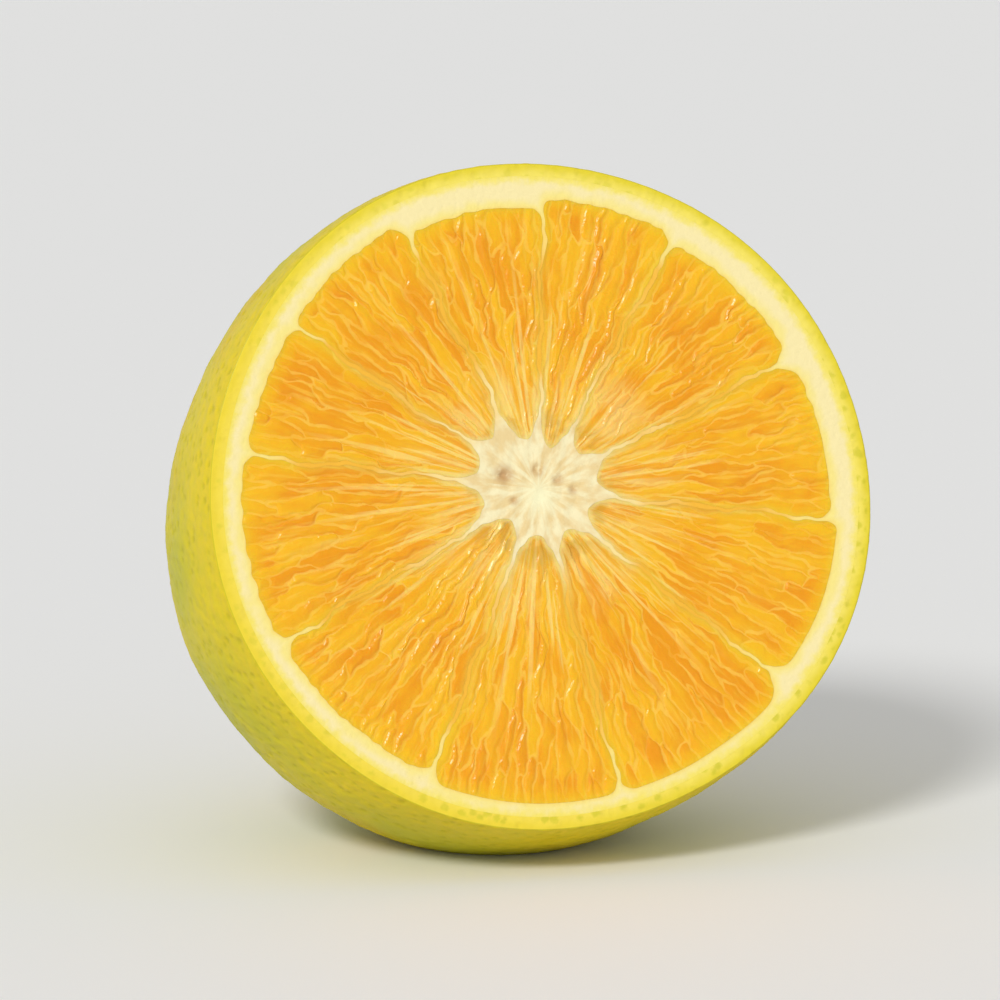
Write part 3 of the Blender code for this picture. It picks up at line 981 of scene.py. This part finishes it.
def pith_finish():
    pith = Finish("pith", {"Specular IOR Level": 0.4})
    reach, fibres = spokes(pith)
    depth, edge = pith.note("depth"), pith.note("edge")
    rind = pith.mix(pith.step(edge + pith.noise(0.3, 3.0) * 2.6, 1.5, 2.9), CREAM, THICK)
    ragged = depth + (pith.noise(0.7, 3.0) - 0.5) * 1.6
    rind = pith.mix(pith.step(ragged, 2.7, 1.5), rind, YELLOWED)
    fleshy = pith.step(edge + pith.noise(0.8) * 0.5, 0.75, 0.25)
    rind = pith.mix(fleshy * 0.5, rind, BESIDE_FLESH)
    streaks = pith.step(fibres(5.0, 3.0), 0.35, 0.65)
    middle = pith.mix(streaks, CORE_DARK, CORE_PALE)
    middle = pith.mix(pith.nearness(PATCH_PLACE, 3.2), middle, CORE_PATCH)
    broken = pith.step(pith.noise(1.2), 0.2, 0.55)
    for x, y, size in STRAND_SPOTS:
        spot = pith.nearness((x, y), 1.9 * size) * broken
        middle = pith.mix(spot * (0.4 + 0.5 * size), middle, STRAND)
    faded = reach + (pith.noise(0.15, 1.0) - 0.5) * 20.0
    wall = pith.mix(pith.step(faded, 26.0, 34.0), WALL_FADED, WALL_OUTER)
    wall = pith.mix(pith.step(faded, 18.0, 9.0) * 0.8, wall, WALL_INNER)
    wall = pith.mix(pith.step(reach, 11.0, 8.0), wall, middle)
    outer = pith.step(reach, 30.0, 33.0)
    pith.wire("Base Color", pith.mix(outer, wall, rind))
    sponge = pith.noise(1.6, 4.0)
    pith.wire("Roughness", sponge * 0.3 + 0.5)
    pith.bump(sponge * 0.12)
    return pith.done()


# %% [markdown]
# ## The flesh's finish
# Each sac has its own tone, because some hold more juice, and a pale skin that shows where two sacs meet.
# Pale veins run out from the core, more of them near it, and near the core the flesh between them is painted
# darker in patches, as shade. Beside a wall and under the rind it turns light and yellow. The wet shine is a
# smooth shader over the sacs' own relief, a little rougher on their skins. Some of the light spreads inside
# the juice, red furthest, which keeps the shadows warm.

# %% Flesh
PULP_DARK, PULP_LIGHT, PULP_PALE = (0.86, 0.34, 0.006), (0.92, 0.49, 0.012), (0.97, 0.58, 0.06)
SAC_SKIN, VEIN, INNER_RAY = (0.98, 0.62, 0.09), (0.98, 0.72, 0.20), (0.97, 0.74, 0.24)
# SHADE_BY_CORE is painted shade: a dark olive for the flesh between the core's star points.
SHADE_BY_CORE, BY_CORE = (0.62, 0.34, 0.03), (0.94, 0.78, 0.36)
BY_WALL, BY_RIND = (0.96, 0.61, 0.09), (0.94, 0.57, 0.012)


def flesh_finish():
    juicy = {"Subsurface Weight": 0.3, "Subsurface Scale": 1.2 * MM, "Subsurface Radius": (1.0, 0.45, 0.1)}
    flesh = Finish("flesh", juicy | {"Specular IOR Level": 0.3})
    reach, fibres = spokes(flesh)
    edge, wall, tone = flesh.note("edge"), flesh.note("wall"), flesh.note("tone")
    patches = flesh.noise(0.15) - 0.5
    ripe = tone + patches * 1.2 + (fibres(30.0, 4.0) - 0.5) * 0.9
    pulp = flesh.mix(flesh.step(ripe, 0.1, 0.9), PULP_DARK, PULP_LIGHT)
    pale = flesh.step(fibres(48.0, 7.0), 0.54, 0.70) * 0.55
    pulp = flesh.mix(pale, pulp, PULP_PALE)
    skins = flesh.step(wall + (flesh.noise(1.1) - 0.5) * 0.3, 0.24, 0.06)
    seen = flesh.step(flesh.noise(0.25), 0.35, 0.6)
    pulp = flesh.mix(skins * (seen * 0.45 + 0.15), pulp, SAC_SKIN)
    veins = flesh.step(fibres(20.0, 24.0), 0.56, 0.64) * flesh.step(reach, 33.0, 14.0)
    pulp = flesh.mix(veins * 0.7, pulp, VEIN)
    inner = flesh.step(reach + patches * 8.0, 19.0, 7.0)
    rays = flesh.step(fibres(12.0, 9.0), 0.46, 0.60)
    pulp = flesh.mix(inner * (rays * 0.65 + 0.1), pulp, INNER_RAY)
    # Painted shade: patches of flesh near the core are darkened towards olive, as shadow between the star's
    # points.
    painted_core_shade = flesh.step(flesh.noise(0.35), 0.42, 0.58) * flesh.step(reach, 11.5, 7.0)
    pulp = flesh.mix(painted_core_shade * 0.6, pulp, SHADE_BY_CORE)
    halo = flesh.step(edge, 0.7, 0.0) * flesh.step(reach, 14.0, 9.0)
    pulp = flesh.mix(halo * 0.55, pulp, BY_CORE)
    pulp = flesh.mix(flesh.step(edge, 0.8, 0.0) * 0.3, pulp, BY_WALL)
    fringe = flesh.step(edge + patches * 2.0, 2.4, 0.2) * flesh.step(reach, 25.0, 31.0)
    pulp = flesh.mix(fringe * 0.55, pulp, BY_RIND)
    flesh.wire("Base Color", pulp)
    uneven = flesh.noise(1.3)
    flesh.wire("Roughness", uneven * 0.16 + skins * 0.12 + 0.15)
    flesh.bump(uneven * 0.10)
    return flesh.done()


# %% [markdown]
# ## Putting the fruit together
# Every piece takes the place of the plain node that it stands for, and rides on the one body that this fruit
# is. The eleven segments share one material: their notes tell it what to do on each. The skin's relief comes
# after its mesh, because the pattern is read at the points' own places.

# %% The pieces
skin = new_piece("skin", skin_body(), peel_finish(), "zest")
board = Relief("skin relief")
board.raise_points(skin, skin_relief(board))
pith = new_piece("pith_and_core", pith_body(), pith_finish(), "pith")
flesh_material = flesh_finish()
for segment in segments:
    name = f"{segment.number + 1:02d}"
    new_piece(f"flesh_{name}", flesh_body(segment), flesh_material, f"segment_{name}")

# %% [markdown]
# ## The camera
# The camera looks at the cut face from a little to the left and a little above, so a strip of peel shows on
# the left. A long lens half a metre away keeps the nearer side of the face from looking larger.

# %% Camera
AZIMUTH, ELEVATION = math.radians(-13.0), math.radians(8.7)
LENS, DISTANCE = 150.0, 0.51
looked_at = Vector((0.0005, 0.0, 0.0400))
flat_reach = math.cos(ELEVATION)
back = Vector((math.sin(AZIMUTH) * flat_reach, -math.cos(AZIMUTH) * flat_reach, math.sin(ELEVATION)))
camera = put("camera", bpy.data.cameras.new("camera"))
camera.data.lens = LENS
camera.location = looked_at + back * DISTANCE
camera.rotation_euler = (-back).to_track_quat("-Z", "Y").to_euler()
bpy.context.scene.camera = camera
print("camera at, mm:", [round(value / MM) for value in camera.location])

# %% [markdown]
# ## The light
# The studio is a pale sky all round, with one broad light from the upper left for the shine and a soft
# shadow. Towards the horizon the sky grows as bright as the floor, so a low view shows no hard line behind
# the fruit.

# %% Light
towards_light = Vector((-0.50, -0.62, 0.62))
sun = put("key", bpy.data.lights.new("key", "SUN"))
sun.data.angle = math.radians(14.0)
sun.data.energy = 1.65
sun.rotation_euler = towards_light.to_track_quat("Z", "Y").to_euler()
world = bpy.data.worlds.new("studio")
world.use_nodes = True
studio = Board(world.node_tree)
_, _, upwards = studio.parts(studio.node("ShaderNodeTexCoord", {}, {}, "Generated"))
background = world.node_tree.nodes["Background"]
background.inputs["Color"].default_value = (1.0, 1.0, 1.0, 1.0)
brightness = studio.step(upwards, 0.30, 0.0) * 0.23 + 0.54
world.node_tree.links.new(brightness.socket, background.inputs["Strength"])
bpy.context.scene.world = world
bpy.context.scene.view_settings.view_transform = "Standard"
print("the light comes from", [round(value, 2) for value in towards_light])

# %% [markdown]
# ## The floor
# A plain pale plane, so wide that its end can't be made out. It is declared as stage, which keeps it out of
# the part.

# %% Floor
bpy.ops.mesh.primitive_plane_add(size=40.0)
floor = bpy.context.object
floor.name = "floor"
pale = Finish("floor", {"Base Color": (0.88, 0.88, 0.87, 1.0), "Roughness": 0.7})
floor.data.materials.append(pale.done())
floor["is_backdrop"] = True

# %% [markdown]
# ## Measuring the result
# Fine pieces are only worth having if they keep to the true size. Both boxes are worked out, the plain model's
# and that of everything built here, and the difference at each corner is printed.

# %% Both boxes, for comparison
boxes = {"cad": [list(corner) for corner in plain_box], "visual": [list(corner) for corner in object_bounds()]}
print("mm outside the plain model:", [[round((a - b) / MM, 3) for a, b in zip(seen, plain)]
      for seen, plain in zip(boxes["visual"], boxes["cad"])])
